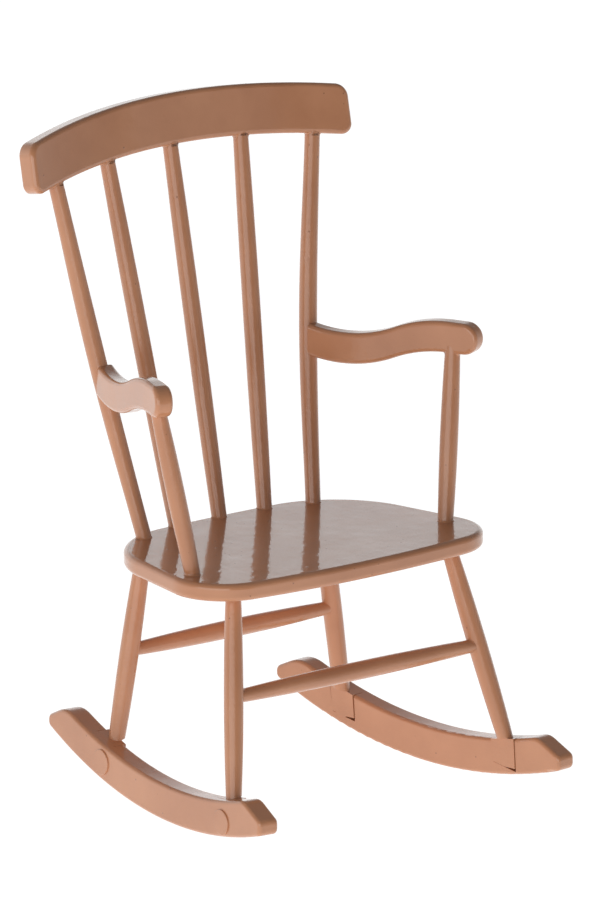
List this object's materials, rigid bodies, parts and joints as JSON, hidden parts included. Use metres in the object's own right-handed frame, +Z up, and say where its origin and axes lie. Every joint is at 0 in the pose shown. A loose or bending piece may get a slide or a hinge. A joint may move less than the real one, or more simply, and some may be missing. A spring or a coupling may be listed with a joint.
{
  "type": "miniature rocking chair",
  "caption": "Dolls house rocking chair in painted metal, with a spindle back under a curved crest rail, S-shaped arms, stretchers and toed-out curved rockers.",
  "frame": {"origin": "bottom centre of the chair's bounding box, on the floor under the rockers' lowest lines", "axes": "+Z up, -Y the way a sitter faces, +X to the right of someone facing the chair; the whole chair leans back 7 degrees from a level seat, because an empty chair set down with its seat level rolls over its rear tips"},
  "size_m": [0.0842, 0.097, 0.1289],
  "materials": {
    "paint": "gloss"
  },
  "bodies": {
    "root": {"seat": "paint", "crest_rail": "paint", "back_spindle_centre": "paint", "stretcher_front": "paint", "stretcher_rear": "paint", "back_post_left": "paint", "back_post_right": "paint", "back_spindle_left": "paint", "back_spindle_right": "paint", "arm_left": "paint", "arm_right": "paint", "arm_post_left": "paint", "arm_post_right": "paint", "leg_front_left": "paint", "leg_front_right": "paint", "leg_rear_left": "paint", "leg_rear_right": "paint", "rocker_left": "paint", "rocker_right": "paint", "rivet_front_left": "paint", "rivet_front_right": "paint", "rivet_rear_left": "paint", "rivet_rear_right": "paint"}
  },
  "joints": []
}
